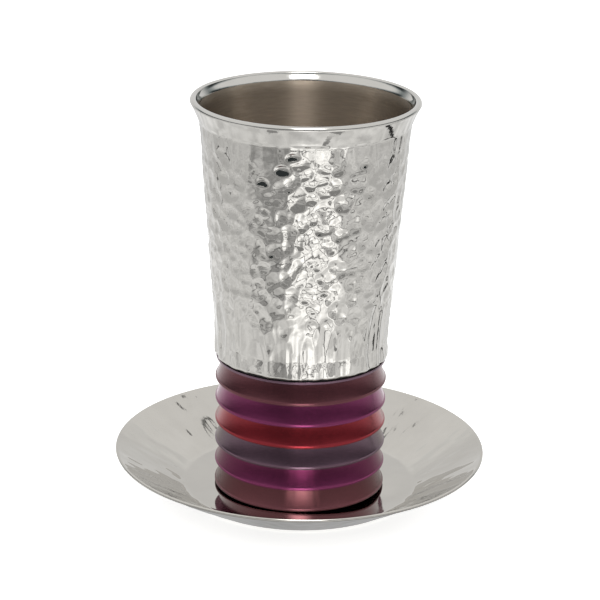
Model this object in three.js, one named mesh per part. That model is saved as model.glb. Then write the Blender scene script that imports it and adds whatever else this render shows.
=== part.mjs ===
// A kiddush cup standing on its saucer.
//
// From the table up: a spun steel saucer, a stem of six anodised aluminium rings,
// a thin disc, a black washer, and the hammered steel beaker that holds the wine.
// Everything is turned about the Z axis. Millimetres, +Z up, and the origin is the
// middle of the saucer's foot, on the table.

import * as THREE from 'three';

// Driving dimensions.
const RIM_RADIUS = 40;
const CUP_TOP = 144.8;
const SAUCER_RADIUS = 66.25;
const SAUCER_HEIGHT = 15.4;
const SHEET = 1.1;

// Saucer: a flat floor on a foot ring, and a straight wall that leans out.
const WALL_SLOPE = THREE.MathUtils.degToRad(30.3);
const FOOT_OUTER_RADIUS = 38;
const FOOT_INNER_RADIUS = 36;
const FOOT_BEND = 7;
const FLOOR_TOP = 2.4;
const FLOOR_BEND = 6;
const UNDERSIDE_RADIUS = 34.9;
const SAUCER_EDGE = 0.35;

// Rings of the stem, all alike: upright at the top, then sweeping out to a thin lip.
const RING_PITCH = 7.93;
const WAIST_RADIUS = 28.2;
const LIP_RADIUS = 30.5;
const LIP_EDGE = 0.75;
const LIP_BEVEL = 0.25;
const SWEEP_STEPS = 3;
const FOOT_BOSS_RADIUS = 26;
const FOOT_BOSS_HEIGHT = 0.65;

// The thin disc and the washer between the rings and the beaker.
const DISC_RADIUS = 30.3;
const DISC_HEIGHT = 0.95;
const DISC_EASE = 0.15;
const WASHER_RADIUS = 29.7;
const WASHER_HEIGHT = 0.6;

// Beaker: upright at the bottom, then a straight taper, then a flared rim.
const BASE_RADIUS = 31;
const BASE_CORNER = 0.8;
const UPRIGHT_HEIGHT = 6.4;
const NECK_RADIUS = 37.15;
const FLARE_HEIGHT = 7.2;
const RIM_ROUND = 0.95;
const RIM_EASE = 0.57;
const MOUTH_RADIUS = 37.75;
const INNER_FLARE_HEIGHT = 2.9;
const BOWL_CORNER = 4;

// Facets round the axis.
const WIDE_FACETS = 72;
const STEM_FACETS = 48;

const QUARTER_TURN = Math.PI / 2;

// Points of an arc in the profile plane, from one angle to another, both included.
function arc(radius, height, bend, from, to, steps) {
  const points = [];
  for (let i = 0; i <= steps; i += 1) {
    const angle = from + (to - from) * i / steps;
    const x = radius + bend * Math.cos(angle);
    const y = height + bend * Math.sin(angle);
    points.push([x, y]);
  }
  return points;
}

// A solid of revolution about Z. The profile runs from the axis at the bottom,
// round the outside and back to the axis.
function turned(name, profile, facets, material) {
  const points = profile.map(([x, y]) => new THREE.Vector2(x, y));
  const geometry = new THREE.LatheGeometry(points, facets);
  geometry.rotateX(QUARTER_TURN);
  const mesh = new THREE.Mesh(geometry, material);
  mesh.name = name;
  return mesh;
}

function metal(color, roughness) {
  return new THREE.MeshStandardMaterial({ color, roughness, metalness: 1 });
}

function rubber(color) {
  return new THREE.MeshStandardMaterial({ color, roughness: 0.7, metalness: 0 });
}

const POLISHED_STEEL = metal(0xd4d2ce, 0.08);
const WASHER_RUBBER = rubber(0x0c0b0c);

// The stem from top to bottom, with each ring's own anodised colour.
const RINGS = [
  ['ring_rose_top', 0x8a5a62],
  ['ring_magenta_top', 0x9a3f88],
  ['ring_red', 0xb03a48],
  ['ring_lavender', 0x9588a2],
  ['ring_magenta_bottom', 0x9c4590],
  ['ring_rose_bottom', 0x94565e],
];

function saucer() {
  const leanSine = Math.sin(WALL_SLOPE);
  const leanCosine = Math.cos(WALL_SLOPE);
  const edgeInnerRadius = SAUCER_RADIUS - SHEET * leanSine;
  const edgeInnerHeight = SAUCER_HEIGHT + SHEET * leanCosine - SAUCER_EDGE;
  const slope = Math.tan(WALL_SLOPE);
  const innerWallFoot = edgeInnerRadius - (edgeInnerHeight - FLOOR_TOP) / slope;
  const floorBendStart = innerWallFoot - FLOOR_BEND * Math.tan(WALL_SLOPE / 2);
  const bendEnd = -QUARTER_TURN + WALL_SLOPE;
  const profile = [
    [0, FLOOR_TOP - SHEET],
    [UNDERSIDE_RADIUS, FLOOR_TOP - SHEET],
    [FOOT_INNER_RADIUS, 0],
    ...arc(FOOT_OUTER_RADIUS, FOOT_BEND, FOOT_BEND, -QUARTER_TURN, bendEnd, 4),
    [SAUCER_RADIUS, SAUCER_HEIGHT - SAUCER_EDGE],
    [SAUCER_RADIUS, SAUCER_HEIGHT],
    [edgeInnerRadius + SAUCER_EDGE * leanCosine, edgeInnerHeight + SAUCER_EDGE * leanSine],
    [edgeInnerRadius - SAUCER_EDGE * leanCosine, edgeInnerHeight - SAUCER_EDGE * leanSine],
    ...arc(floorBendStart, FLOOR_TOP + FLOOR_BEND, FLOOR_BEND, bendEnd, -QUARTER_TURN, 4),
    [0, FLOOR_TOP],
  ];
  return turned('saucer', profile, WIDE_FACETS, POLISHED_STEEL);
}

// One ring, standing on the plane z = bottom. The lowest one has a short boss
// under it, which keeps its lip clear of the saucer.
function ring(name, color, bottom, hasBoss) {
  const reach = LIP_RADIUS - LIP_BEVEL - WAIST_RADIUS;
  const rise = RING_PITCH - LIP_EDGE;
  const bend = (reach * reach + rise * rise) / (2 * reach);
  const turn = Math.asin(rise / bend);
  const sweep = arc(WAIST_RADIUS + bend, RING_PITCH, bend, Math.PI + turn, Math.PI, SWEEP_STEPS);
  const outline = [
    [LIP_RADIUS, 0],
    [LIP_RADIUS, LIP_EDGE - LIP_BEVEL],
    ...sweep,
    [0, RING_PITCH],
  ];
  const boss = [
    [0, -FOOT_BOSS_HEIGHT],
    [FOOT_BOSS_RADIUS, -FOOT_BOSS_HEIGHT],
    [FOOT_BOSS_RADIUS, 0],
  ];
  const start = hasBoss ? boss : [[0, 0]];
  const profile = [...start, ...outline].map(([x, y]) => [x, y + bottom]);
  return turned(name, profile, STEM_FACETS, metal(color, 0.3));
}

function disc(bottom) {
  const top = bottom + DISC_HEIGHT;
  const profile = [
    [0, bottom],
    [DISC_RADIUS - DISC_EASE, bottom],
    [DISC_RADIUS, bottom + DISC_EASE],
    [DISC_RADIUS, top - DISC_EASE],
    [DISC_RADIUS - DISC_EASE, top],
    [0, top],
  ];
  return turned('stem_disc', profile, STEM_FACETS, metal(0xb9adc4, 0.3));
}

function washer(bottom) {
  const profile = [
    [0, bottom],
    [WASHER_RADIUS, bottom],
    [WASHER_RADIUS, bottom + WASHER_HEIGHT],
    [0, bottom + WASHER_HEIGHT],
  ];
  return turned('washer', profile, STEM_FACETS, WASHER_RUBBER);
}

function beaker(bottom) {
  const flareStart = CUP_TOP - FLARE_HEIGHT;
  const innerFlareStart = CUP_TOP - INNER_FLARE_HEIGHT;
  const taperStart = bottom + UPRIGHT_HEIGHT;
  const lean = (NECK_RADIUS - BASE_RADIUS) / (flareStart - taperStart);
  const innerNeck = NECK_RADIUS - SHEET + lean * (innerFlareStart - flareStart);
  const innerBase = BASE_RADIUS - SHEET;
  const bowlFloor = bottom + SHEET;
  const outerRound = arc(RIM_RADIUS - RIM_ROUND, CUP_TOP - RIM_ROUND, RIM_ROUND, 0, QUARTER_TURN, 3);
  const baseArc = arc(BASE_RADIUS - BASE_CORNER, bottom + BASE_CORNER, BASE_CORNER, -QUARTER_TURN, 0, 2);
  const bowlArc = arc(innerBase - BOWL_CORNER, bowlFloor + BOWL_CORNER, BOWL_CORNER, 0, -QUARTER_TURN, 4);
  const profile = [
    [0, bottom],
    ...baseArc,
    [BASE_RADIUS, taperStart],
    [NECK_RADIUS, flareStart],
    ...outerRound,
    [MOUTH_RADIUS + RIM_EASE, CUP_TOP],
    [MOUTH_RADIUS, CUP_TOP - RIM_EASE],
    [innerNeck, innerFlareStart],
    [innerBase, taperStart],
    ...bowlArc,
    [0, bowlFloor],
  ];
  return turned('beaker', profile, WIDE_FACETS, POLISHED_STEEL);
}

const cup = new THREE.Group();
cup.add(saucer());

const stemBottom = FLOOR_TOP + FOOT_BOSS_HEIGHT;
RINGS.forEach(([name, color], index) => {
  const ringsBelow = RINGS.length - 1 - index;
  cup.add(ring(name, color, stemBottom + ringsBelow * RING_PITCH, ringsBelow === 0));
});

const discBottom = stemBottom + RINGS.length * RING_PITCH;
const washerBottom = discBottom + DISC_HEIGHT;
cup.add(disc(discBottom));
cup.add(washer(washerBottom));
cup.add(beaker(washerBottom + WASHER_HEIGHT));

export default cup;
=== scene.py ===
"""A kiddush cup on its saucer: the finished surfaces, built around the fixed CAD frame.

Every piece is turned about the Z axis, as the real ones are spun or turned, and takes its place
and its main radii from the CAD node that it stands for. The hammer marks of the beaker and the
faint waves of the saucer are real relief, worked into the mesh after it is spun.
"""

import logging
import math
from collections.abc import Callable
from dataclasses import dataclass, field
from enum import Enum

import bpy
import numpy as np
from mathutils import Matrix, Vector


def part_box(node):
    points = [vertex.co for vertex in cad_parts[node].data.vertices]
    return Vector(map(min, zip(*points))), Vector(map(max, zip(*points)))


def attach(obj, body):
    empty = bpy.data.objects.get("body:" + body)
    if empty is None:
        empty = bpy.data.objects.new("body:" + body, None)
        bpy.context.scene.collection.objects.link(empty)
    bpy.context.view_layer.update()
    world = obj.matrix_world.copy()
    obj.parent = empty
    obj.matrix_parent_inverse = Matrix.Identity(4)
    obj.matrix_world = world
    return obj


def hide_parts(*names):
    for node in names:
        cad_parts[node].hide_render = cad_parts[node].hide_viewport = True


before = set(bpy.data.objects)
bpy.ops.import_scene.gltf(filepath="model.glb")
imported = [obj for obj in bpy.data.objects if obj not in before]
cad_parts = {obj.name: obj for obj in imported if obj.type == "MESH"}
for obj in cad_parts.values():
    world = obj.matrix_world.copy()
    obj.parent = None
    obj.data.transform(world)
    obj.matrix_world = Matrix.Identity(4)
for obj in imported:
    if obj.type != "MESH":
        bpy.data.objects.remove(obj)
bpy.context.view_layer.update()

LOG = logging.getLogger("kiddush_cup")

MM = 0.001
FULL_TURN = math.tau
QUARTER_TURN = math.pi / 2
# Points closer than this are one point, in metres.
SAME_PLACE = 1e-7
# Room for rounding in millimetres, where sizes are compared or divided by.
SLACK = 0.01
SMOOTH_ANGLE = math.radians(38)
# How many waves make up a ripple, and how far their lengths spread about its pitch.
RIPPLE_WAVES = 14
RIPPLE_SPREAD = (0.7, 1.6)
# A blow is worked out a little past its bowl, and its exponent is kept within a float's range.
BOWL_MARGIN = 6
BOWL_REACH = 1.2
MOST_EXPONENT = 60
# Blender's noise texture mostly stays between these.
NOISE_RANGE = (0.35, 0.65)

Point = tuple[float, float]
Span = tuple[float, float]


class Slot(Enum):
    """The record's material slots."""

    SAUCER = "saucer_steel"
    BEAKER = "beaker_steel"
    ROSE = "rose_aluminium"
    MAGENTA = "magenta_aluminium"
    RED = "red_aluminium"
    LAVENDER = "lavender_aluminium"
    RUBBER = "black_rubber"


class Seed(Enum):
    """The random seeds, one for each pattern of the relief."""

    BLOWS = 7
    SWELLS = 17
    DIMPLES = 23
    SAUCER_FLUTES = 31
    PITTING = 41
    SAUCER_BULGES = 53
    PLANISHED_FLARE = 61
    FINE_SAUCER_FLUTES = 87


# Colour and small numeric helpers


def linear(hex_colour: str) -> tuple[float, float, float, float]:
    """Turns an sRGB hex colour into the linear RGBA that the shaders take.

    Args:
        hex_colour: Six hex digits, such as "c9c7c2".

    Returns:
        The colour in linear light, with an alpha of 1.
    """
    # The sRGB curve is straight near black and a power above that.
    channels = []
    for start in (0, 2, 4):
        value = int(hex_colour[start : start + 2], 16) / 255
        if value <= 0.04045:
            channels.append(value / 12.92)
        else:
            channels.append(((value + 0.055) / 1.055) ** 2.4)
    return (channels[0], channels[1], channels[2], 1.0)


def smooth_step(low: float, high: float, values: np.ndarray) -> np.ndarray:
    """Goes smoothly from 0 at low to 1 at high.

    Args:
        low: Where the step starts.
        high: Where the step ends; it may be below low.
        values: What is stepped.

    Returns:
        The share of the step at each value.
    """
    share = np.clip((values - low) / (high - low), 0.0, 1.0)
    return share * share * (3 - 2 * share)


def plateau(rise: Span, fall: Span, values: np.ndarray) -> np.ndarray:
    """Goes smoothly from 0 up to 1, and back down to 0 further on.

    Args:
        rise: Where it leaves 0, and where it is 1.
        fall: Where it leaves 1, and where it is 0 again.
        values: What is stepped.

    Returns:
        The share at each value.
    """
    return smooth_step(*rise, values) * (1 - smooth_step(*fall, values))


def axis_distance(points: np.ndarray) -> np.ndarray:
    """How far each point is from the Z axis."""
    return np.hypot(points[:, 0], points[:, 1])


def arc(centre: Point, bend: float, start: float, end: float, steps: int) -> list[Point]:
    """Points of an arc in the profile plane, both ends included.

    Args:
        centre: Radius and height of the arc's centre, in millimetres.
        bend: The arc's own radius, in millimetres.
        start: Angle of the first point, in radians.
        end: Angle of the last point, in radians.
        steps: How many chords the arc has.

    Returns:
        The points, each as radius and height.
    """
    points = []
    for i in range(steps + 1):
        angle = start + (end - start) * i / steps
        points.append((centre[0] + bend * math.cos(angle), centre[1] + bend * math.sin(angle)))
    return points


def run(start: Point, end: Point, steps: int) -> list[Point]:
    """Points of a straight run in the profile plane, both ends included.

    Args:
        start: Radius and height of the first point, in millimetres.
        end: Radius and height of the last point, in millimetres.
        steps: How many rows of faces the run has.

    Returns:
        The points, each as radius and height.
    """
    return [
        (start[0] + (end[0] - start[0]) * i / steps, start[1] + (end[1] - start[1]) * i / steps)
        for i in range(steps + 1)
    ]


# Lathe work


def deselect_all() -> None:
    """Leaves nothing selected, so that an operator acts only on the piece in hand."""
    bpy.ops.object.select_all(action="DESELECT")


def draw_outline(name: str, outline: list[Point]) -> bpy.types.Object:
    """Draws a cutter's outline: one vertex of a primitive, extruded from point to point.

    Args:
        name: The piece's name.
        outline: The outline's points, as radius and height in millimetres.

    Returns:
        The outline, as a mesh of edges in the XZ plane.
    """
    deselect_all()
    bpy.ops.mesh.primitive_plane_add(size=MM)
    piece = bpy.context.object
    piece.name = name
    piece.data.name = name
    bpy.ops.object.mode_set(mode="EDIT")
    bpy.ops.mesh.select_all(action="SELECT")
    bpy.ops.mesh.merge(type="CENTER")
    radius, height = outline[0]
    bpy.ops.transform.translate(value=(radius * MM, 0, height * MM))
    for next_radius, next_height in outline[1:]:
        step = ((next_radius - radius) * MM, 0, (next_height - height) * MM)
        if math.hypot(step[0], step[2]) < SAME_PLACE:
            continue
        bpy.ops.mesh.extrude_vertices_move(TRANSFORM_OT_translate={"value": step})
        radius, height = next_radius, next_height
    bpy.ops.object.mode_set(mode="OBJECT")
    return piece


def spin_piece(name: str, outline: list[Point], facets: int) -> bpy.types.Object:
    """Spins a cutter's outline a full turn about Z.

    Args:
        name: The piece's name.
        outline: Points from the axis at the bottom, round the outside and back to the axis.
        facets: How many steps the full turn has.

    Returns:
        The closed piece, with its place in its mesh.
    """
    piece = draw_outline(name, outline)
    bpy.ops.object.modifier_add(type="SCREW")
    turn = piece.modifiers[-1]
    turn.axis = "Z"
    turn.angle = FULL_TURN
    turn.steps = facets
    turn.render_steps = facets
    turn.use_merge_vertices = True
    turn.merge_threshold = SAME_PLACE
    bpy.ops.object.modifier_apply(modifier=turn.name)
    bpy.ops.object.mode_set(mode="EDIT")
    bpy.ops.mesh.select_all(action="SELECT")
    bpy.ops.mesh.remove_doubles(threshold=SAME_PLACE)
    bpy.ops.mesh.normals_make_consistent(inside=False)
    bpy.ops.object.mode_set(mode="OBJECT")
    return piece


def points_of(piece: bpy.types.Object) -> np.ndarray:
    """The piece's vertices in millimetres, one row each."""
    flat = np.zeros(len(piece.data.vertices) * 3)
    piece.data.vertices.foreach_get("co", flat)
    return flat.reshape(-1, 3) / MM


def set_points(piece: bpy.types.Object, points: np.ndarray) -> None:
    """Moves the piece's vertices.

    Args:
        piece: The piece.
        points: The new places in millimetres, one row for each vertex.
    """
    piece.data.vertices.foreach_set("co", (points * MM).ravel())
    piece.data.update()


@dataclass(frozen=True)
class Ripples:
    """Smooth irregular relief: a sum of waves that run in random directions.

    Attributes:
        pitch: Usual distance between crests, in millimetres.
        swing: How far the relief goes up and down, in millimetres.
        seed: Sets the pattern, so that two differ.
        depth: The relief's mean, in millimetres.
    """

    pitch: float
    swing: float
    seed: Seed
    depth: float = 0.0

    def at(self, points: np.ndarray) -> np.ndarray:
        """Works the relief out.

        Args:
            points: Places in millimetres, one row each.

        Returns:
            The relief at each point, mostly within two swings of the mean.
        """
        dice = np.random.default_rng(self.seed.value)
        total = np.zeros(len(points))
        for _ in range(RIPPLE_WAVES):
            direction = dice.normal(size=3)
            direction /= np.linalg.norm(direction)
            wave = FULL_TURN / (self.pitch * dice.uniform(*RIPPLE_SPREAD))
            total += np.sin(points @ direction * wave + dice.uniform(0, FULL_TURN))
        return self.depth + self.swing * total / math.sqrt(RIPPLE_WAVES / 2)


# Materials


def add_node(
    material: bpy.types.ID,
    kind: str,
    settings: dict[str, object] | None = None,
    inputs: dict[str, object] | None = None,
) -> bpy.types.Node:
    """Adds one shader node with its settings and its inputs.

    Args:
        material: The material or world that the node goes into.
        kind: The node's type name.
        settings: Properties of the node, by name.
        inputs: The node's inputs by name or index: a socket is linked, anything else is set.

    Returns:
        The node.
    """
    node = material.node_tree.nodes.new(kind)
    for key, value in (settings or {}).items():
        setattr(node, key, value)
    for key, value in (inputs or {}).items():
        socket = node.inputs[key]
        if isinstance(value, bpy.types.NodeSocket):
            material.node_tree.links.new(value, socket)
        else:
            socket.default_value = value
    return node


def new_material(name: str) -> bpy.types.Material:
    """A material with an empty node tree."""
    material = bpy.data.materials.new(name)
    material.use_nodes = True
    material.node_tree.nodes.clear()
    return material


def finish_material(material: bpy.types.Material, shader: bpy.types.Node) -> None:
    """Links a shader to the material's output."""
    add_node(material, "ShaderNodeOutputMaterial", inputs={"Surface": shader.outputs[0]})


@dataclass(frozen=True)
class Grain:
    """A fine irregular pattern in a surface.

    Attributes:
        pitch: Usual size of its marks along the piece's axis, in millimetres.
        detail: How many finer layers it has.
        squeeze: Its scale round the piece as a share of that along the axis: a small share
            draws the marks out into long lines round the piece.
    """

    pitch: float
    detail: float
    squeeze: float = 1.0

    def draw(self, material: bpy.types.Material) -> bpy.types.NodeSocket:
        """Adds the pattern's nodes to a material, and gives the socket of its strength."""
        place = add_node(material, "ShaderNodeTexCoord")
        scale = (self.squeeze, self.squeeze, 1.0)
        drawn_out = add_node(
            material,
            "ShaderNodeMapping",
            inputs={"Vector": place.outputs["Object"], "Scale": scale},
        )
        marks = add_node(
            material,
            "ShaderNodeTexNoise",
            inputs={
                "Vector": drawn_out.outputs[0],
                "Scale": 1 / (self.pitch * MM),
                "Detail": self.detail,
            },
        )
        return marks.outputs["Fac"]


@dataclass(frozen=True)
class Finish:
    """A surface whose colour, blur and height follow fine patterns.

    Attributes:
        name: The material's name, which says what it is and how its surface was made.
        colour: sRGB colour where the main pattern is weakest.
        deep_colour: The same where it is strongest.
        grain: The main pattern.
        roughness: Blur of the reflections.
        haze: Blur where its pattern is weak and where it is strong, as shares of the
            roughness, or None for the same blur all over.
        haze_range: The pattern's strengths between which the blur changes.
        haze_grain: The blur's own pattern, or None for the main one.
        relief: Height of the relief in millimetres.
        relief_share: How much of the relief shows.
        relief_grain: The relief's own pattern, or None for the main one.
    """

    name: str
    colour: str
    deep_colour: str
    grain: Grain
    roughness: float
    haze: Span | None = (0.8, 1.2)
    haze_range: Span = (0.0, 1.0)
    haze_grain: Grain | None = None
    relief: float = 0.01
    relief_share: float = 0.4
    relief_grain: Grain | None = None

    def gloss(self, material: bpy.types.Material) -> dict[str, object]:
        """The other inputs of this finish's shader."""
        return {}

    def make(self) -> bpy.types.Material:
        """Builds the material."""
        material = new_material(self.name)
        main = self.grain.draw(material)
        tint = add_node(
            material,
            "ShaderNodeMix",
            {"data_type": "RGBA"},
            {"Factor": main, 6: linear(self.colour), 7: linear(self.deep_colour)},
        )
        bump = add_node(
            material,
            "ShaderNodeBump",
            inputs={
                "Strength": self.relief_share,
                "Distance": self.relief * MM,
                "Height": self.relief_grain.draw(material) if self.relief_grain else main,
            },
        )
        inputs = {
            "Base Color": tint.outputs[2],
            "Roughness": self.roughness,
            "Normal": bump.outputs[0],
        }
        if self.haze:
            blur = add_node(
                material,
                "ShaderNodeMapRange",
                inputs={
                    "Value": self.haze_grain.draw(material) if self.haze_grain else main,
                    "From Min": self.haze_range[0],
                    "From Max": self.haze_range[1],
                    "To Min": self.roughness * self.haze[0],
                    "To Max": self.roughness * self.haze[1],
                },
            )
            inputs["Roughness"] = blur.outputs[0]
        inputs |= self.gloss(material)
        finish_material(material, add_node(material, "ShaderNodeBsdfPrincipled", inputs=inputs))
        return material


def turned_gloss(material: bpy.types.Material, stretch: float) -> dict[str, object]:
    """Shader inputs of bare metal with fine lines turned into it round the Z axis.

    Args:
        material: The material.
        stretch: How much the lines draw the highlights out along the axis, from 0 to 1.

    Returns:
        The inputs, by name.
    """
    along = add_node(material, "ShaderNodeTangent", {"direction_type": "RADIAL", "axis": "Z"})
    # The rotation is a quarter turn, because the lines run along the tangent.
    return {
        "Metallic": 1.0,
        "Anisotropic": stretch,
        "Anisotropic Rotation": 0.25,
        "Tangent": along.outputs[0],
    }


# Mirror polish on stainless steel shows the room in sharp shapes, barely warm in tone. The wheel
# leaves faint waves that bend them, and a thin haze where it passed fewer times.
@dataclass(frozen=True)
class PolishedSteel(Finish):
    """Stainless steel, 18/10, mirror-polished after it was spun or hammered."""

    grain: Grain = Grain(pitch=9.0, detail=3.0)
    roughness: float = 0.055
    haze: Span = (0.7, 1.4)
    haze_range: Span = (0.3, 0.7)
    relief: float = 0.004
    relief_share: float = 1.0
    relief_grain: Grain = Grain(pitch=1.6, detail=2.0)

    def gloss(self, material: bpy.types.Material) -> dict[str, object]:
        """Bare metal."""
        return {"Metallic": 1.0}


# The brush leaves fine lines round the bowl, which blur the room to soft upright streaks.
# The base colour is browner and darker than the polished steel outside; the darkness is
# painted shade, standing in for the dim inside of the deep bowl. The real lines are 0.1 mm
# apart, and they are drawn 0.7 mm apart so that they show.
@dataclass(frozen=True)
class SatinSteel(Finish):
    """The same steel inside the beaker, left satin from the brush."""

    name: str = "Satin stainless steel"
    # Painted shade: this darker, browner base stands in for the dim inside of the bowl.
    colour: str = "b8ab9b"
    deep_colour: str = "8c7f72"
    grain: Grain = Grain(pitch=0.7, detail=4.0, squeeze=0.12)
    roughness: float = 0.34
    haze: Span = (0.8, 1.25)

    def gloss(self, material: bpy.types.Material) -> dict[str, object]:
        """Bare metal with brush lines."""
        return turned_gloss(material, stretch=0.9)


# The dye darkens the metal under it, so the walls are deep in colour and only their highlights
# glow. The fine turning grooves stretch those along the axis, and the clear sealed skin adds a
# faint white gloss. The real grooves are 0.05 mm apart, and they are drawn 0.35 mm apart.
@dataclass(frozen=True)
class AnodisedAluminium(Finish):
    """Turned aluminium, anodised, dyed and sealed.

    Attributes:
        skin: How much the sealed skin's own gloss shows.
        skin_roughness: Blur of that gloss.
    """

    grain: Grain = Grain(pitch=0.35, detail=3.0, squeeze=0.05)
    roughness: float = 0.24
    haze_grain: Grain = Grain(pitch=0.5, detail=2.0)
    skin: float = 0.25
    skin_roughness: float = 0.2

    def gloss(self, material: bpy.types.Material) -> dict[str, object]:
        """Dyed metal with turning grooves, under a clear skin."""
        return turned_gloss(material, stretch=0.72) | {
            "Coat Weight": self.skin,
            "Coat Roughness": self.skin_roughness,
            "Coat IOR": 1.5,
        }


# Cut rubber sheet swallows the light: a flat black line, greyed a little by dust in its pores.
@dataclass(frozen=True)
class MattRubber(Finish):
    """Black rubber, cut from sheet."""

    name: str = "Black rubber sheet"
    colour: str = "0b0a0b"
    deep_colour: str = "1a181a"
    grain: Grain = Grain(pitch=0.4, detail=3.0)
    roughness: float = 0.75
    haze: None = None
    relief: float = 0.02
    relief_share: float = 0.5


def dress(piece: bpy.types.Object, nodes: tuple[str, ...]) -> None:
    """Shades a finished piece, and ties it to the frame.

    Args:
        piece: The piece, in place.
        nodes: The CAD nodes that it stands for.
    """
    deselect_all()
    piece.select_set(True)
    bpy.context.view_layer.objects.active = piece
    bpy.ops.object.shade_smooth_by_angle(angle=SMOOTH_ANGLE)
    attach(piece, "root")
    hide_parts(*nodes)
    LOG.info("%s: %d faces", piece.name, len(piece.data.polygons))


# The pieces


def node_span(node: str) -> tuple[float, float, float]:
    """A CAD node's outer radius, bottom and top, in millimetres."""
    low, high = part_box(node)
    return high.x / MM, low.z / MM, high.z / MM


@dataclass(frozen=True)
class FloorWave:
    """A stretch round the stem where the saucer's floor rises or dips.

    Attributes:
        bearing: Its middle, in degrees from the front.
        spread: How far it reaches to each side, in degrees.
        rise: How far it rises in millimetres; a dip is below 0.
    """

    bearing: float
    spread: float
    rise: float


@dataclass
class Saucer:
    """The spun saucer: a flat floor on a foot ring, and a straight wall that leans out.

    Sizes are in millimetres.

    Attributes:
        sheet: Thickness of the steel.
        wall_slope: Lean of the wall from the level, in radians.
        foot_bend: Radius of the turn between foot ring and wall.
        floor_bend: Radius of the turn between floor and wall.
        underside_radius: Radius of the recess inside the foot ring.
        planished: The radii between which the hammer's marks set in, going out.
        rim_left_plain: The radii between which they fade out before the rim.
        flute_circle: Radius of the circle that sets how many marks go round.
        flute_stretch: Their scale along the wall as a share of that round it.
        flutes: The long marks of planishing.
        fine_flutes: The finer ones between them.
        bulges: Wide shallow bulges of the wall.
        floor_waves: Rises and dips of the floor.
        waves_start: The radii between which those set in, going out.
        waves_end: The radii between which they fade out.
    """

    material: bpy.types.Material
    node: str = "saucer"
    sheet: float = 1.1
    wall_slope: float = math.radians(30.3)
    foot_outer_radius: float = 38.0
    foot_inner_radius: float = 36.0
    foot_bend: float = 7.0
    floor_top: float = 2.4
    floor_bend: float = 6.0
    underside_radius: float = 34.9
    planished: Span = (40.0, 46.0)
    rim_left_plain: Span = (63.6, 65.4)
    flute_circle: float = 50.0
    flute_stretch: float = 0.25
    flutes: Ripples = Ripples(pitch=7.0, swing=0.07, seed=Seed.SAUCER_FLUTES)
    fine_flutes: Ripples = Ripples(pitch=2.6, swing=0.0315, seed=Seed.FINE_SAUCER_FLUTES)
    bulges: Ripples = Ripples(pitch=17.0, swing=0.025, seed=Seed.SAUCER_BULGES)
    floor_waves: tuple[FloorWave, ...] = (
        FloorWave(bearing=-10.0, spread=28.0, rise=0.35),
        FloorWave(bearing=58.0, spread=30.0, rise=-0.9),
        FloorWave(bearing=-80.0, spread=22.0, rise=-0.35),
    )
    waves_start: Span = (26.2, 29.0)
    waves_end: Span = (33.0, 46.0)
    facets: int = 384

    def rim(self) -> list[Point]:
        """The rim's full round, from the wall's underside to its top."""
        radius, _, top = node_span(self.node)
        half = self.sheet / 2
        under_turn = self.wall_slope - QUARTER_TURN
        centre = (radius - half, top - half)
        return arc(centre, half, under_turn, under_turn + math.pi, steps=16)

    def wall_foot(self) -> float:
        """The radius at which the wall's top would meet the floor if nothing rounded the bend."""
        radius, height = self.rim()[-1]
        return radius - (height - self.floor_top) / math.tan(self.wall_slope)

    def outline(self) -> list[Point]:
        """The section from the axis under the floor, over the rim and back along the floor."""
        lean = self.wall_slope
        under_turn = lean - QUARTER_TURN
        rim = self.rim()
        bend_start = self.wall_foot() - self.floor_bend * math.tan(lean / 2)
        floor_centre = (bend_start, self.floor_top + self.floor_bend)
        floor_arc = arc(floor_centre, self.floor_bend, under_turn, -QUARTER_TURN, steps=10)
        foot_centre = (self.foot_outer_radius, self.foot_bend)
        foot_arc = arc(foot_centre, self.foot_bend, -QUARTER_TURN, under_turn, steps=10)
        underside = (0.0, self.floor_top - self.sheet)
        recess = (self.underside_radius, self.floor_top - self.sheet)
        return (
            run(underside, recess, steps=8)
            + [(self.foot_inner_radius, 0.0)]
            + foot_arc
            + run(foot_arc[-1], rim[0], steps=24)[1:]
            + rim[1:]
            + run(rim[-1], floor_arc[0], steps=28)[1:]
            + floor_arc[1:]
            + run(floor_arc[-1], (0.0, self.floor_top), steps=20)[1:]
        )

    def planish(self, points: np.ndarray) -> np.ndarray:
        """How far the marks of planishing raise each point of the wall, in millimetres."""
        radius = axis_distance(points)
        round_wall = points[:, :2] / np.maximum(radius, SLACK)[:, None] * self.flute_circle
        unrolled = np.column_stack([round_wall, radius * self.flute_stretch])
        relief = self.flutes.at(unrolled) + self.fine_flutes.at(unrolled) + self.bulges.at(points)
        fade = plateau(self.planished, self.rim_left_plain, radius)
        return relief * fade

    def warp(self, points: np.ndarray) -> np.ndarray:
        """How far the floor rises or dips at each point, in millimetres; the foot ring stays flat."""
        radius = axis_distance(points)
        bearing = np.degrees(np.arctan2(points[:, 0], -points[:, 1]))
        up_wall = np.maximum(radius - self.wall_foot(), 0.0) * math.tan(self.wall_slope)
        on_top = points[:, 2] > self.floor_top + up_wall - self.sheet / 2
        inside_foot = radius < (self.underside_radius + self.foot_inner_radius) / 2
        fade = plateau(self.waves_start, self.waves_end, radius)
        total = np.zeros(len(points))
        for wave in self.floor_waves:
            total += wave.rise * np.exp(-(((bearing - wave.bearing) / wave.spread) ** 2))
        return total * fade * (on_top | inside_foot)

    def build(self) -> bpy.types.Object:
        """Builds and dresses the saucer."""
        piece = spin_piece("Saucer", self.outline(), self.facets)
        points = points_of(piece)
        points[:, 2] += self.planish(points)
        points[:, 2] += self.warp(points)
        set_points(piece, points)
        piece.data.materials.append(self.material)
        dress(piece, (self.node,))
        return piece


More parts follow.
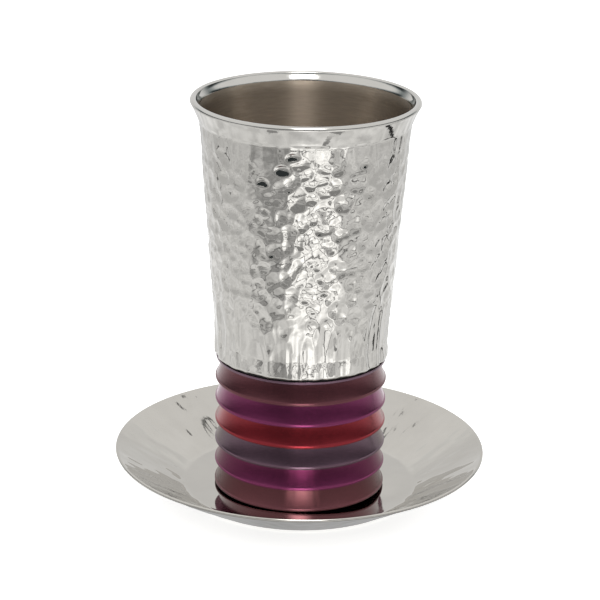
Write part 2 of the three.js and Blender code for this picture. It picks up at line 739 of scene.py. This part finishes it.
@dataclass
class StemRing:
    """One ring of the stem: its wall sweeps out to a thin rounded lip.

    Sizes are in millimetres.

    Attributes:
        pitch: Height of the ring without its boss.
        lip_edge: Thickness of the lip.
        lip_round: Radius of the lip's upper edge.
        lower_ease: Radius of the lip's lower edge.
        cove: Radius of the tight turn between lip and wall.
        lip_turn: How far the lip's edge turns up and in, in radians.
        low_lean: How far the wall faces up at its foot, in radians.
        high_lean: The same at its top.
        boss_radius: Radius of the lowest ring's boss.
    """

    node: str
    slot: Slot
    material: bpy.types.Material
    pitch: float = 7.93
    lip_edge: float = 0.75
    lip_round: float = 0.36
    lower_ease: float = 0.15
    cove: float = 0.2
    lip_turn: float = math.radians(74)
    low_lean: float = math.radians(22)
    high_lean: float = math.radians(10)
    boss_radius: float = 26.0
    facets: int = 256

    def outline(self) -> list[Point]:
        """The ring's section, from the axis at the bottom to the axis at the top."""
        radius, bottom, top = node_span(self.node)
        foot = top - self.pitch
        points = [(0.0, foot)]
        has_boss = bottom < foot - self.lower_ease
        if has_boss:
            points = [(0.0, bottom), (self.boss_radius, bottom), (self.boss_radius, foot)]
        ease, bead = self.lower_ease, self.lip_round
        points += arc((radius - ease, foot + ease), ease, -QUARTER_TURN, 0, steps=4)
        bead_centre = (radius - bead, foot + self.lip_edge - bead)
        points += arc(bead_centre, bead, 0, self.lip_turn, steps=8)
        points += self.hollow(points[-1], self.cove, self.lip_turn, self.low_lean, steps=4)
        rise = top - points[-1][1]
        bend = rise / (math.sin(self.low_lean) - math.sin(self.high_lean))
        points += self.hollow(points[-1], bend, self.low_lean, self.high_lean, steps=12)
        points += run(points[-1], (0.0, top), steps=2)[1:]
        return points

    def hollow(self, start: Point, bend: float, low: float, high: float, steps: int) -> list[Point]:
        """A hollow arc that goes on up from a point.

        Args:
            start: Where the arc starts.
            bend: The arc's radius.
            low: How far the surface faces up at the start, in radians.
            high: The same at the end.
            steps: How many chords the arc has.

        Returns:
            The arc's points, without the first.
        """
        centre = (start[0] + bend * math.cos(low), start[1] + bend * math.sin(low))
        return arc(centre, bend, math.pi + low, math.pi + high, steps)[1:]

    def build(self) -> bpy.types.Object:
        """Builds and dresses the ring."""
        name = "".join(word.capitalize() for word in self.node.split("_"))
        piece = spin_piece(name, self.outline(), self.facets)
        piece.data.materials.append(self.material)
        dress(piece, (self.node,))
        return piece


@dataclass
class Spacer:
    """A flat round piece between the rings and the beaker, its edges eased by a small radius."""

    name: str
    node: str
    slot: Slot
    material: bpy.types.Material
    ease: float = 0.15
    facets: int = 256

    def build(self) -> bpy.types.Object:
        """Builds and dresses the spacer."""
        radius, bottom, top = node_span(self.node)
        ease = self.ease
        outline = [(0.0, bottom)]
        outline += arc((radius - ease, bottom + ease), ease, -QUARTER_TURN, 0, steps=4)
        outline += arc((radius - ease, top - ease), ease, 0, QUARTER_TURN, steps=4)
        outline += [(0.0, top)]
        piece = spin_piece(self.name, outline, self.facets)
        piece.data.materials.append(self.material)
        dress(piece, (self.node,))
        return piece


@dataclass(frozen=True)
class Blow:
    """One hammer blow: a shallow bowl in the steel.

    Attributes:
        angle: Where it is round the wall, in radians from the X axis.
        height: Height of its middle.
        curve: The bowl's own radius.
        stretch: How much taller than wide it is.
        sink: Depth of its middle.
    """

    angle: float
    height: float
    curve: float
    stretch: float
    sink: float


@dataclass(frozen=True)
class Row:
    """A row of blows round the wall.

    Attributes:
        height: Its middle height; all are in millimetres.
        width: Distance between blows round the wall.
        length: Distance between rows, which sets how long each blow is.
        depth: How deep a blow of middling force is.
    """

    height: float
    width: float
    length: float
    depth: float


@dataclass(frozen=True)
class Ledge:
    """One of the hardest blows, which left a flat that faces up.

    Attributes:
        bearing: Where it is, in degrees from the front.
        height: Height of its middle in millimetres, as the others are.
        width: Its width.
        depth: How deep its lower edge is.
    """

    bearing: float
    height: float
    width: float
    depth: float


@dataclass
class HammerBlows:
    """The blows that cover the beaker's wall, in millimetres.

    Attributes:
        flutes: The long upright blows at the foot and the short ones over them.
        dents_from: Height of the lowest row of round dents.
        dents_to: Height that they stay under.
        dent: Usual distance between the round dents.
        dent_depth: Depth of a round dent of middling force.
        overlap: Distance between their rows as a share of that between dents.
        top_flutes: The short shallow blows under the rim.
        ledges: The hardest blows: seven in front as on the real cup, and four behind.
        ledge_share: Height of a ledge as a share of its width.
        ledge_edge: How far out a ledge starts and stops giving way to the other blows, as
            shares of its half size.
        kept_clear: How close to a ledge no other blow falls, as a share of its width.
        creases: Bearings of the narrow upright creases at the foot, in degrees.
        crease_height: Lowest and highest middle of a crease.
        crease_stretch: How much taller than wide they are.
        crease_curve: Radius of their hollow.
        crease_depth: Their depth.
        sideways: How far a blow strays round the wall, as a share of the distance between blows.
        upwards: How far it strays up or down, as a share of the distance between rows.
        longest_stray: The longest distance between rows that counts for that.
        forces: Weakest and strongest blow, as shares of one of middling force.
        stretches: Least and most that a blow is longer than its row says.
        sinks: Shallowest and deepest blow, as shares of its row's depth.
        softness: How rounded the ridges between blows are.
        blows: Every blow struck so far.
    """

    flutes: tuple[Row, ...] = (
        Row(height=59.0, width=4.6, length=24.0, depth=0.60),
        Row(height=61.0, width=7.0, length=22.0, depth=0.74),
        Row(height=66.0, width=5.0, length=9.0, depth=0.40),
    )
    dents_from: float = 72.0
    dents_to: float = 130.0
    dent: float = 4.6
    dent_depth: float = 0.34
    overlap: float = 0.88
    top_flutes: Row = Row(height=134.0, width=4.6, length=14.0, depth=0.24)
    ledges: tuple[Ledge, ...] = (
        Ledge(-6.2, 133.0, 4.6, 0.92),
        Ledge(-11.9, 128.3, 5.2, 0.94),
        Ledge(-23.2, 123.6, 4.4, 0.90),
        Ledge(-22.3, 113.0, 3.6, 0.55),
        Ledge(-20.1, 107.0, 2.6, 0.40),
        Ledge(-23.8, 97.0, 2.8, 0.42),
        Ledge(13.0, 84.0, 3.4, 0.48),
        Ledge(150.0, 120.0, 4.6, 0.78),
        Ledge(158.0, 114.0, 4.0, 0.66),
        Ledge(-140.0, 98.0, 4.2, 0.70),
        Ledge(96.0, 108.0, 4.0, 0.66),
    )
    ledge_share: float = 0.72
    ledge_edge: Span = (0.8, 1.25)
    kept_clear: float = 0.5
    creases: tuple[float, ...] = (-27.7, -7.7, 2.3, 25.2, 54.7, 88, 131, 170, -150, -104, -66)
    crease_height: Span = (59.5, 62.5)
    crease_stretch: Span = (4.0, 6.5)
    crease_curve: float = 1.3
    crease_depth: float = 0.82
    sideways: float = 0.42
    upwards: float = 0.8
    longest_stray: float = 6.0
    forces: Span = (0.45, 1.6)
    stretches: Span = (0.8, 1.5)
    sinks: Span = (0.7, 1.5)
    softness: float = 0.012
    blows: list[Blow] = field(default_factory=list)

    def __post_init__(self) -> None:
        """Starts the random draws."""
        self.dice = np.random.default_rng(Seed.BLOWS.value)

    def strike_row(self, row: Row, radius: float) -> None:
        """Strikes one row of blows round the wall.

        Args:
            row: The row.
            radius: The wall's radius there.
        """
        count = round(FULL_TURN * radius / row.width)
        start = self.dice.uniform(0, FULL_TURN)
        for i in range(count):
            stray = self.dice.uniform(-self.sideways, self.sideways)
            angle = start + FULL_TURN * (i + stray) / count
            rise = self.dice.uniform(-self.upwards, self.upwards)
            height = row.height + rise * min(row.length, self.longest_stray)
            force = self.dice.uniform(*self.forces)
            # The radius of a bowl that is as deep as that at the row's width.
            curve = row.width * row.width / (8 * row.depth * force)
            stretch = row.length / row.width * self.dice.uniform(*self.stretches)
            sink = row.depth * self.dice.uniform(*self.sinks)
            if not self.near_ledge(angle, height, radius):
                self.blows.append(Blow(angle, height, curve, stretch, sink))

    def near_ledge(self, angle: float, height: float, radius: float) -> bool:
        """Whether a place lies in one of the ledges, which are left whole."""
        for ledge in self.ledges:
            across = self.turn_from(ledge.bearing, angle) * radius
            if math.hypot(across, height - ledge.height) < self.kept_clear * ledge.width:
                return True
        return False

    def to_angle(self, bearing: float) -> float:
        """Turns a bearing from the front into an angle from the X axis."""
        return math.radians(bearing) - QUARTER_TURN

    def turn_from(self, bearing: float, angle: float | np.ndarray) -> float | np.ndarray:
        """How far an angle is from a bearing, by the shorter way round."""
        return (angle - self.to_angle(bearing) + math.pi) % FULL_TURN - math.pi

    def strike(self, radius_at: Callable[[float], float]) -> None:
        """Strikes all the rows: long flutes at the foot, round dents above, short flutes on top.

        Args:
            radius_at: Gives the wall's radius at a height.
        """
        for row in self.flutes:
            self.strike_row(row, radius_at(row.height))
        height = self.dents_from
        while height < self.dents_to:
            self.strike_row(Row(height, self.dent, self.dent, self.dent_depth), radius_at(height))
            height += self.dent * self.overlap
        self.strike_row(self.top_flutes, radius_at(self.top_flutes.height))
        for bearing in self.creases:
            height = self.dice.uniform(*self.crease_height)
            stretch = self.dice.uniform(*self.crease_stretch)
            angle = self.to_angle(bearing)
            self.blows.append(Blow(angle, height, self.crease_curve, stretch, self.crease_depth))

    def relief(self, points: np.ndarray) -> np.ndarray:
        """How far the wall is driven in at each point.

        The blows' bowls meet in softly rounded ridges: a soft maximum of their depths.

        Args:
            points: Places on the unhammered wall, in millimetres.

        Returns:
            Depth in millimetres, 0 where nothing struck.
        """
        angle = np.arctan2(points[:, 1], points[:, 0])
        radius = axis_distance(points)
        height = points[:, 2]
        total = np.ones(len(points))
        for blow in self.blows:
            bowl_depth = blow.sink + BOWL_MARGIN * self.softness
            reach = BOWL_REACH * blow.stretch * math.sqrt(2 * blow.curve * bowl_depth)
            near = np.abs(height - blow.height) < reach
            turn = (angle[near] - blow.angle + math.pi) % FULL_TURN - math.pi
            across = turn * radius[near]
            up = (height[near] - blow.height) / blow.stretch
            bowl = (across * across + up * up) / (2 * blow.curve) - blow.sink
            total[near] += np.exp(np.clip(-bowl / self.softness, -MOST_EXPONENT, MOST_EXPONENT))
        depth = self.softness * np.log(total)
        for ledge in self.ledges:
            across = self.turn_from(ledge.bearing, angle) * radius / (ledge.width / 2)
            up = (height - ledge.height) / (ledge.width * self.ledge_share / 2)
            mask = 1 - smooth_step(*self.ledge_edge, np.hypot(across, up))
            ramp = ledge.depth * np.clip((up + 1) / 2, 0.0, 1.0)
            depth = depth * (1 - mask) + ramp * mask
        return depth


@dataclass
class Beaker:
    """The tapered beaker: hammered and polished outside, satin inside, with a flared rim.

    Sizes are in millimetres.

    Attributes:
        sheet: Thickness of the steel.
        least_sheet: The thinnest that the hammer leaves it.
        base_radius: Radius of the upright wall at the foot.
        base_corner: Radius of its bottom edge.
        upright: Height of that wall.
        neck_radius: Radius of the wall where the flare starts.
        flare: Height of the flare.
        flare_sag: How far the flare curves in from a straight line.
        rim_round: Outer radius of the rim's edge.
        rim_ease: Inner radius of the rim's edge.
        inner_flare: Height of the flare inside.
        bowl_corner: Radius between the bowl's wall and floor.
        mean_depth: How deep the smallest waves leave the wall, besides the blows.
        foot_raised: How much less deep the bottom edge is driven in than the wall.
        foot_height: Height over which that wears off.
        swells: Wide swells of the hammered wall.
        fine_waves: Dimples and pitting, weaker at the foot and under the rim.
        fine_share: How strong those are there, as a share.
        dented: The heights between which they set in, and those between which they fade.
        neck_fade: How far under the flare the hammer marks start to fade and are gone.
        planished: Faint waves of the flare.
        flare_start: Height over which those set in.
        rim_fade: How far under the top they start to fade and are gone.
        outer_share: How deep in the sheet a point still counts as outside, as a share of it.
        inner_share: How deep in the sheet a face has to lie to count as inside.
    """

    node: str
    polished: bpy.types.Material
    satin: bpy.types.Material
    sheet: float = 1.1
    least_sheet: float = 0.15
    base_radius: float = 31.0
    base_corner: float = 0.8
    upright: float = 6.4
    neck_radius: float = 37.15
    flare: float = 7.2
    flare_sag: float = 0.12
    flare_rows: int = 12
    rim_round: float = 0.95
    rim_ease: float = 0.57
    mouth_radius: float = 37.75
    inner_flare: float = 2.9
    bowl_corner: float = 4.0
    wall_rows: int = 172
    facets: int = 384
    mean_depth: float = 0.1
    foot_raised: float = 0.34
    foot_height: float = 13.0
    swells: Ripples = Ripples(pitch=13.0, swing=0.03, seed=Seed.SWELLS, depth=0.06)
    fine_waves: tuple[Ripples, ...] = (
        Ripples(pitch=4.6, swing=0.04, seed=Seed.DIMPLES, depth=0.06),
        Ripples(pitch=2.2, swing=0.016, seed=Seed.PITTING, depth=0.05),
    )
    fine_share: float = 0.3
    dented: tuple[Span, Span] = ((66.0, 74.0), (130.0, 134.0))
    neck_fade: Span = (0.7, 0.05)
    planished: Ripples = Ripples(pitch=7.0, swing=0.016, seed=Seed.PLANISHED_FLARE, depth=0.03)
    flare_start: float = 1.0
    rim_fade: Span = (2.2, 1.2)
    outer_share: float = 0.8
    inner_share: float = 0.7

    def __post_init__(self) -> None:
        """Takes the beaker's place from the frame."""
        self.rim_radius, self.bottom, self.top = node_span(self.node)
        self.taper_start = self.bottom + self.upright
        self.neck = self.top - self.flare

    def wall_radius(self, height: float | np.ndarray) -> float | np.ndarray:
        """The unhammered wall's outer radius at a height."""
        share = (height - self.taper_start) / (self.neck - self.taper_start)
        return self.base_radius + (self.neck_radius - self.base_radius) * np.clip(share, 0.0, 1.0)

    def outside_outline(self) -> list[Point]:
        """The section from the axis under the base up to the top of the flare."""
        corner = self.base_corner
        corner_centre = (self.base_radius - corner, self.bottom + corner)
        base_arc = arc(corner_centre, corner, -QUARTER_TURN, 0, steps=6)
        wall_low = (self.base_radius, self.bottom + corner)
        wall_bend = (self.base_radius, self.taper_start)
        wall_high = (self.neck_radius, self.neck)
        upright_share = (self.taper_start - wall_low[1]) / (self.neck - wall_low[1])
        low_rows = round(self.wall_rows * upright_share)
        points = run((0.0, self.bottom), base_arc[0], steps=3)
        points += base_arc[1:]
        points += run(wall_low, wall_bend, low_rows)[1:]
        points += run(wall_bend, wall_high, self.wall_rows - low_rows)[1:]
        rim_low = (self.rim_radius, self.top - self.rim_round)
        for i, (reach, height) in enumerate(run(wall_high, rim_low, self.flare_rows)[1:], 1):
            sag = self.flare_sag * math.sin(math.pi * i / self.flare_rows)
            points.append((reach - sag, height))
        return points

    def outline(self) -> list[Point]:
        """The section from the axis under the base, over the rim and down to the bowl's floor."""
        lean = (self.neck_radius - self.base_radius) / (self.neck - self.taper_start)
        neck_height = self.top - self.inner_flare
        inner_neck = (self.neck_radius - self.sheet + lean * (neck_height - self.neck), neck_height)
        inner_base = self.base_radius - self.sheet
        inner_bend = (inner_base, self.taper_start)
        bowl_floor = self.bottom + self.sheet
        rim_centre = (self.rim_radius - self.rim_round, self.top - self.rim_round)
        rim_arc = arc(rim_centre, self.rim_round, 0, QUARTER_TURN, steps=8)
        lip_centre = (self.mouth_radius + self.rim_ease, self.top - self.rim_ease)
        lip_arc = arc(lip_centre, self.rim_ease, QUARTER_TURN, math.pi, steps=5)
        bowl_centre = (inner_base - self.bowl_corner, bowl_floor + self.bowl_corner)
        bowl_arc = arc(bowl_centre, self.bowl_corner, 0, -QUARTER_TURN, steps=8)
        return (
            self.outside_outline()
            + rim_arc[1:]
            + lip_arc
            + run(lip_arc[-1], inner_neck, steps=3)[1:]
            + run(inner_neck, inner_bend, steps=22)[1:]
            + run(inner_bend, bowl_arc[0], steps=2)[1:]
            + bowl_arc[1:]
            + run(bowl_arc[-1], (0.0, bowl_floor), steps=4)[1:]
        )

    def press_in(self, points: np.ndarray, which: np.ndarray, depth: np.ndarray) -> None:
        """Moves some of the points towards the axis.

        Args:
            points: All the piece's points, changed in place.
            which: Which of them move.
            depth: How far each of those moves, in millimetres.
        """
        radius = axis_distance(points[which])
        points[which, :2] *= (1 - depth / radius)[:, None]

    def wall_depth(self, points: np.ndarray) -> np.ndarray:
        """How far the wall is driven in at each point, in millimetres."""
        blows = HammerBlows()
        blows.strike(self.wall_radius)
        height = points[:, 2]
        dented = plateau(*self.dented, height)
        fine = self.fine_share + (1 - self.fine_share) * dented
        depth = blows.relief(points) + self.swells.at(points)
        for wave in self.fine_waves:
            depth += wave.at(points) * fine
        foot = 1 - smooth_step(self.bottom, self.bottom + self.foot_height, height)
        depth += self.mean_depth - self.foot_raised * foot
        fade_from, fade_to = self.neck_fade
        fade = 1 - smooth_step(self.neck - fade_from, self.neck - fade_to, height)
        return np.clip(depth, 0, self.sheet - self.least_sheet) * fade

    def hammer(self, piece: bpy.types.Object) -> None:
        """Drives the hammer marks into the outside of the wall, and planishes the flare."""
        points = points_of(piece)
        radius = axis_distance(points)
        height = points[:, 2]
        wall = radius > self.wall_radius(height) - self.outer_share * self.sheet
        wall &= height < self.neck + SLACK
        flare = (radius > self.neck_radius - self.sheet / 2) & (height > self.neck + SLACK)
        self.press_in(points, wall, self.wall_depth(points[wall]))
        set_in = (self.neck, self.neck + self.flare_start)
        fade_out = (self.top - self.rim_fade[0], self.top - self.rim_fade[1])
        fade = plateau(set_in, fade_out, height[flare])
        self.press_in(points, flare, self.planished.at(points[flare]) * fade)
        set_points(piece, points)

    def dress_inside(self, piece: bpy.types.Object) -> None:
        """Gives the faces inside the mouth the satin steel."""
        piece.data.materials.append(self.polished)
        piece.data.materials.append(self.satin)
        faces = piece.data.polygons
        centres = np.zeros(len(faces) * 3)
        faces.foreach_get("center", centres)
        centres = centres.reshape(-1, 3) / MM
        height = centres[:, 2]
        wall = self.wall_radius(height) - self.sheet * self.inner_share
        inside = axis_distance(centres) < wall
        inside &= height > self.bottom + self.sheet - SLACK
        inside &= height < self.top - self.inner_flare
        faces.foreach_set("material_index", inside.astype(np.int32))

    def build(self) -> bpy.types.Object:
        """Builds, hammers and dresses the beaker."""
        piece = spin_piece("Beaker", self.outline(), self.facets)
        self.dress_inside(piece)
        self.hammer(piece)
        dress(piece, (self.node,))
        return piece


# The studio


@dataclass
class Card:
    """A glowing card outside the picture that shows only in the polished metal.

    Attributes:
        name: The card's name.
        centre: Its middle, in metres.
        width: Its width in metres, along X before it is turned.
        length: Its length in metres, along Y before it is turned.
        radiance: Brightness of its face.
        turn: Degrees that it is turned about Z.
        tilt: Degrees that its back edge is raised, which is the first turn.
        fade: Share of the half width and length over which it fades out towards its edges.
        crumple: How much the brightness of its crumpled face varies, as a share.
        crease: Usual size of the crumples in metres.
    """

    name: str
    centre: tuple[float, float, float]
    width: float
    length: float
    radiance: float
    turn: float = 0.0
    tilt: float = 0.0
    fade: float = 0.02
    crumple: float = 0.25
    crease: float = 0.04

    def paint(self) -> bpy.types.Material:
        """Builds the card's glowing face."""
        material = new_material(self.name)
        place = add_node(material, "ShaderNodeTexCoord")
        folds = add_node(
            material,
            "ShaderNodeTexNoise",
            inputs={"Vector": place.outputs["Object"], "Scale": 1 / self.crease, "Detail": 3.0},
        )
        spread = add_node(
            material,
            "ShaderNodeMapRange",
            inputs={
                "Value": folds.outputs["Fac"],
                "From Min": NOISE_RANGE[0],
                "From Max": NOISE_RANGE[1],
                "To Min": self.radiance * (1 - self.crumple),
                "To Max": self.radiance * (1 + self.crumple),
            },
        )
        middle = add_node(
            material,
            "ShaderNodeVectorMath",
            {"operation": "SUBTRACT"},
            {0: place.outputs["Generated"], 1: (0.5, 0.5, 0.5)},
        )
        reach = add_node(
            material, "ShaderNodeVectorMath", {"operation": "ABSOLUTE"}, {0: middle.outputs[0]}
        )
        sides = add_node(material, "ShaderNodeSeparateXYZ", inputs={0: reach.outputs[0]})
        furthest = add_node(
            material,
            "ShaderNodeMath",
            {"operation": "MAXIMUM"},
            {0: sides.outputs["X"], 1: sides.outputs["Y"]},
        )
        edge = add_node(
            material,
            "ShaderNodeMapRange",
            {"interpolation_type": "SMOOTHSTEP"},
            {"Value": furthest.outputs[0], "From Min": 0.5, "From Max": 0.5 - self.fade / 2},
        )
        glow = add_node(
            material,
            "ShaderNodeEmission",
            inputs={"Color": linear("ffffff"), "Strength": spread.outputs[0]},
        )
        clear = add_node(material, "ShaderNodeBsdfTransparent")
        mix = add_node(
            material,
            "ShaderNodeMixShader",
            inputs={0: edge.outputs[0], 1: clear.outputs[0], 2: glow.outputs[0]},
        )
        finish_material(material, mix)
        return material

    def hang(self) -> bpy.types.Object:
        """Puts the card in its place, where only polished metal shows it."""
        deselect_all()
        bpy.ops.mesh.primitive_plane_add(size=1.0)
        card = bpy.context.object
        card.name = self.name
        bpy.ops.transform.resize(value=(self.width, self.length, 1.0))
        bpy.ops.object.transform_apply(location=False, rotation=False, scale=True)
        card.location = self.centre
        card.rotation_euler = (math.radians(self.tilt), 0, math.radians(self.turn))
        card.data.materials.append(self.paint())
        card.visible_camera = False
        card.visible_diffuse = False
        card.visible_shadow = False
        return card


@dataclass
class Studio:
    """The lit white table, the soft light round it, and the camera at the photograph's angle.

    Attributes:
        table_size: Side of the table in metres, as the other lengths are.
        table_glow: Brightness of the light under its top.
        backdrop_radiance: Brightness of the wall behind the cup.
        backdrop_edge: Where that wall starts and is full, as directions along Y.
        front_radiance: Brightness of the room on the camera's side.
        front_colour: Its colour.
        ceiling_radiance: Brightness of the ceiling.
        ceiling_edge: Where the ceiling starts and is full, as directions up.
        ceiling_droop: How much lower it reaches at the sides.
        lens: Focal length in millimetres.
        camera_distance: From the aim to the camera.
        camera_elevation: How far up the camera is, in radians.
        camera_roll: How far it is turned about its own axis, in radians.
        aim: What it looks at.
    """

    table_size: float = 12.0
    table_glow: float = 0.7
    backdrop_radiance: float = 0.95
    backdrop_edge: Span = (0.5, 0.85)
    front_radiance: float = 0.08
    front_colour: str = "d0dfe3"
    ceiling_radiance: float = 1.15
    ceiling_edge: Span = (0.38, 0.62)
    ceiling_droop: float = 0.25
    lens: float = 142.72
    camera_distance: float = 0.8418
    camera_elevation: float = math.radians(19.22)
    camera_roll: float = math.radians(1.07)
    aim: Vector = field(default_factory=lambda: Vector((-0.00076, 0.0, 0.0712)))

    def lay_table(self) -> bpy.types.Object:
        """Lays the plain white table top."""
        deselect_all()
        bpy.ops.mesh.primitive_plane_add(size=self.table_size)
        table = bpy.context.object
        table.name = "Table"
        # Opal acrylic is lit through from below, so it looks evenly white, with a faint shadow.
        material = new_material("Opal acrylic sheet")
        shader = add_node(
            material,
            "ShaderNodeBsdfPrincipled",
            inputs={
                "Base Color": linear("f4f3f1"),
                "Roughness": 0.6,
                "Emission Color": linear("ffffff"),
                "Emission Strength": self.table_glow,
            },
        )
        finish_material(material, shader)
        table.data.materials.append(material)
        return table

    def light_room(self) -> None:
        """Fills the room: bright behind the cup and overhead, dim on the camera's side."""
        world = bpy.data.worlds.new("Soft room light")
        bpy.context.scene.world = world
        world.use_nodes = True
        world.node_tree.nodes.clear()
        place = add_node(world, "ShaderNodeTexCoord")
        axes = add_node(world, "ShaderNodeSeparateXYZ", inputs={0: place.outputs["Generated"]})
        behind = add_node(
            world,
            "ShaderNodeMapRange",
            {"interpolation_type": "SMOOTHSTEP"},
            {
                "Value": axes.outputs["Y"],
                "From Min": self.backdrop_edge[0],
                "From Max": self.backdrop_edge[1],
            },
        )
        sideways = add_node(
            world, "ShaderNodeMath", {"operation": "ABSOLUTE"}, {0: axes.outputs["X"]}
        )
        raised = add_node(
            world,
            "ShaderNodeMath",
            {"operation": "MULTIPLY_ADD"},
            {0: sideways.outputs[0], 1: self.ceiling_droop, 2: axes.outputs["Z"]},
        )
        overhead = add_node(
            world,
            "ShaderNodeMapRange",
            {"interpolation_type": "SMOOTHSTEP"},
            {
                "Value": raised.outputs[0],
                "From Min": self.ceiling_edge[0],
                "From Max": self.ceiling_edge[1],
            },
        )
        reach = add_node(
            world,
            "ShaderNodeMath",
            {"operation": "MAXIMUM"},
            {0: behind.outputs[0], 1: overhead.outputs[0]},
        )
        tone = add_node(
            world,
            "ShaderNodeMix",
            {"data_type": "RGBA"},
            {"Factor": reach.outputs[0], 6: linear(self.front_colour), 7: linear("ffffff")},
        )
        level = add_node(
            world,
            "ShaderNodeMix",
            {"data_type": "FLOAT"},
            {0: behind.outputs[0], 2: self.front_radiance, 3: self.backdrop_radiance},
        )
        radiance = add_node(
            world,
            "ShaderNodeMix",
            {"data_type": "FLOAT"},
            {0: overhead.outputs[0], 2: level.outputs[0], 3: self.ceiling_radiance},
        )
        glow = add_node(
            world,
            "ShaderNodeBackground",
            inputs={"Color": tone.outputs[2], "Strength": radiance.outputs[0]},
        )
        add_node(world, "ShaderNodeOutputWorld", inputs={"Surface": glow.outputs[0]})
        bpy.context.scene.view_settings.view_transform = "Standard"

    def hang_cards(self) -> None:
        """Sets up the softbox overhead and the cards that break up the reflections."""
        cards = (
            Card("Key softbox", (0.03, -0.36, 0.68), 0.36, 0.52, 12.0, tilt=28, fade=0.9, crumple=0.0),
            Card("Far sheen", (0.0, 0.0, 0.0004), 8.0, 8.0, 0.82, crumple=0.1),
            Card("Table sheen", (0.0, 0.0, 0.0007), 0.9, 0.9, 1.1, fade=0.7, crumple=0.2),
            Card("Shade under the saucer", (0.0, 0.0, 0.001), 0.15, 0.15, 0.44, crumple=0.06),
            Card("Far dim card", (0.0, -1.70, 0.001), 5.0, 2.5, 0.42),
            Card("Bright front card", (0.06, -0.285, 0.001), 0.22, 0.37, 1.9, fade=0.3, crumple=0.35),
            Card("Dim left front card", (-0.175, -0.275, 0.001), 0.29, 0.40, 0.48, fade=0.85),
            Card("Left bar", (-0.36, -0.30, 0.002), 0.03, 0.40, 0.12, turn=40, fade=0.6),
            Card("Right bar", (0.36, -0.26, 0.002), 0.03, 0.40, 0.15, turn=-50, fade=0.3),
            Card("Middle slat", (0.0, -0.20, 0.002), 0.60, 0.014, 0.3, turn=-8, fade=0.3),
            Card("Far slat", (0.0, -0.32, 0.002), 0.60, 0.024, 0.35, turn=7, fade=0.3),
            Card("Left slat", (-0.10, -0.22, 0.002), 0.014, 0.30, 0.25, turn=24, fade=0.3),
            Card("Centre slat", (0.04, -0.22, 0.002), 0.012, 0.30, 0.4, turn=-6, fade=0.3),
            Card("Right slat", (0.15, -0.19, 0.002), 0.014, 0.30, 0.2, turn=-28, fade=0.3),
            Card("Right seam", (0.22, 0.10, 0.002), 0.018, 0.26, 0.03, turn=-54, fade=0.3),
            Card("Left seam", (-0.315, 0.087, 0.002), 0.012, 0.14, 0.04, turn=53, fade=0.3),
            Card("Right boom", (0.462, 0.485, 0.918), 0.05, 0.03, 0.12, turn=-41),
            Card("Left boom", (-0.462, 0.485, 0.918), 0.05, 0.03, 0.12, turn=41),
        )
        for card in cards:
            card.hang()

    def set_camera(self) -> bpy.types.Object:
        """Puts the camera where the photograph was taken from."""
        camera = bpy.data.cameras.new("Camera")
        camera.sensor_width = 36
        camera.lens = self.lens
        camera.clip_start = 0.05
        camera.clip_end = 50
        holder = bpy.data.objects.new("Camera", camera)
        elevation = self.camera_elevation
        back = Vector((0, -math.cos(elevation), math.sin(elevation)))
        look = (-back).to_track_quat("-Z", "Y").to_matrix().to_4x4()
        roll = Matrix.Rotation(self.camera_roll, 4, "Z")
        place = Matrix.Translation(self.aim + back * self.camera_distance)
        holder.matrix_world = place @ look @ roll
        bpy.context.scene.collection.objects.link(holder)
        bpy.context.scene.camera = holder
        return holder


def write_sizes() -> None:
    """Brings the view layer up to date."""
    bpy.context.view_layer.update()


def main() -> None:
    """Builds the pieces in order and sets up the studio."""
    logging.basicConfig(level=logging.INFO, format="%(message)s")
    polished = PolishedSteel("Mirror-polished stainless steel", "bab7b1", "b0ada7").make()
    hammered = PolishedSteel(
        "Hammered and polished stainless steel", "bdbbb7", "b3b1ac", relief=0.02
    ).make()
    satin = SatinSteel().make()
    rose = AnodisedAluminium("Rose anodised aluminium", "6e4147", "60363c").make()
    magenta = AnodisedAluminium("Magenta anodised aluminium", "80365f", "702b50").make()
    red = AnodisedAluminium("Red anodised aluminium", "922f37", "83232b").make()
    lavender = AnodisedAluminium("Lavender anodised aluminium", "6e5663", "5f4955").make()
    rubber = MattRubber().make()
    Saucer(polished).build()
    rings = (
        ("ring_rose_bottom", Slot.ROSE, rose),
        ("ring_magenta_bottom", Slot.MAGENTA, magenta),
        ("ring_lavender", Slot.LAVENDER, lavender),
        ("ring_red", Slot.RED, red),
        ("ring_magenta_top", Slot.MAGENTA, magenta),
        ("ring_rose_top", Slot.ROSE, rose),
    )
    for node, slot, material in rings:
        StemRing(node, slot, material).build()
    Spacer("StemDisc", "stem_disc", Slot.LAVENDER, lavender).build()
    Spacer("Washer", "washer", Slot.RUBBER, rubber, ease=0.1).build()
    Beaker("beaker", hammered, satin).build()
    studio = Studio()
    studio.lay_table()
    studio.light_room()
    studio.hang_cards()
    studio.set_camera()
    write_sizes()


if __name__ == "__main__":
    main()
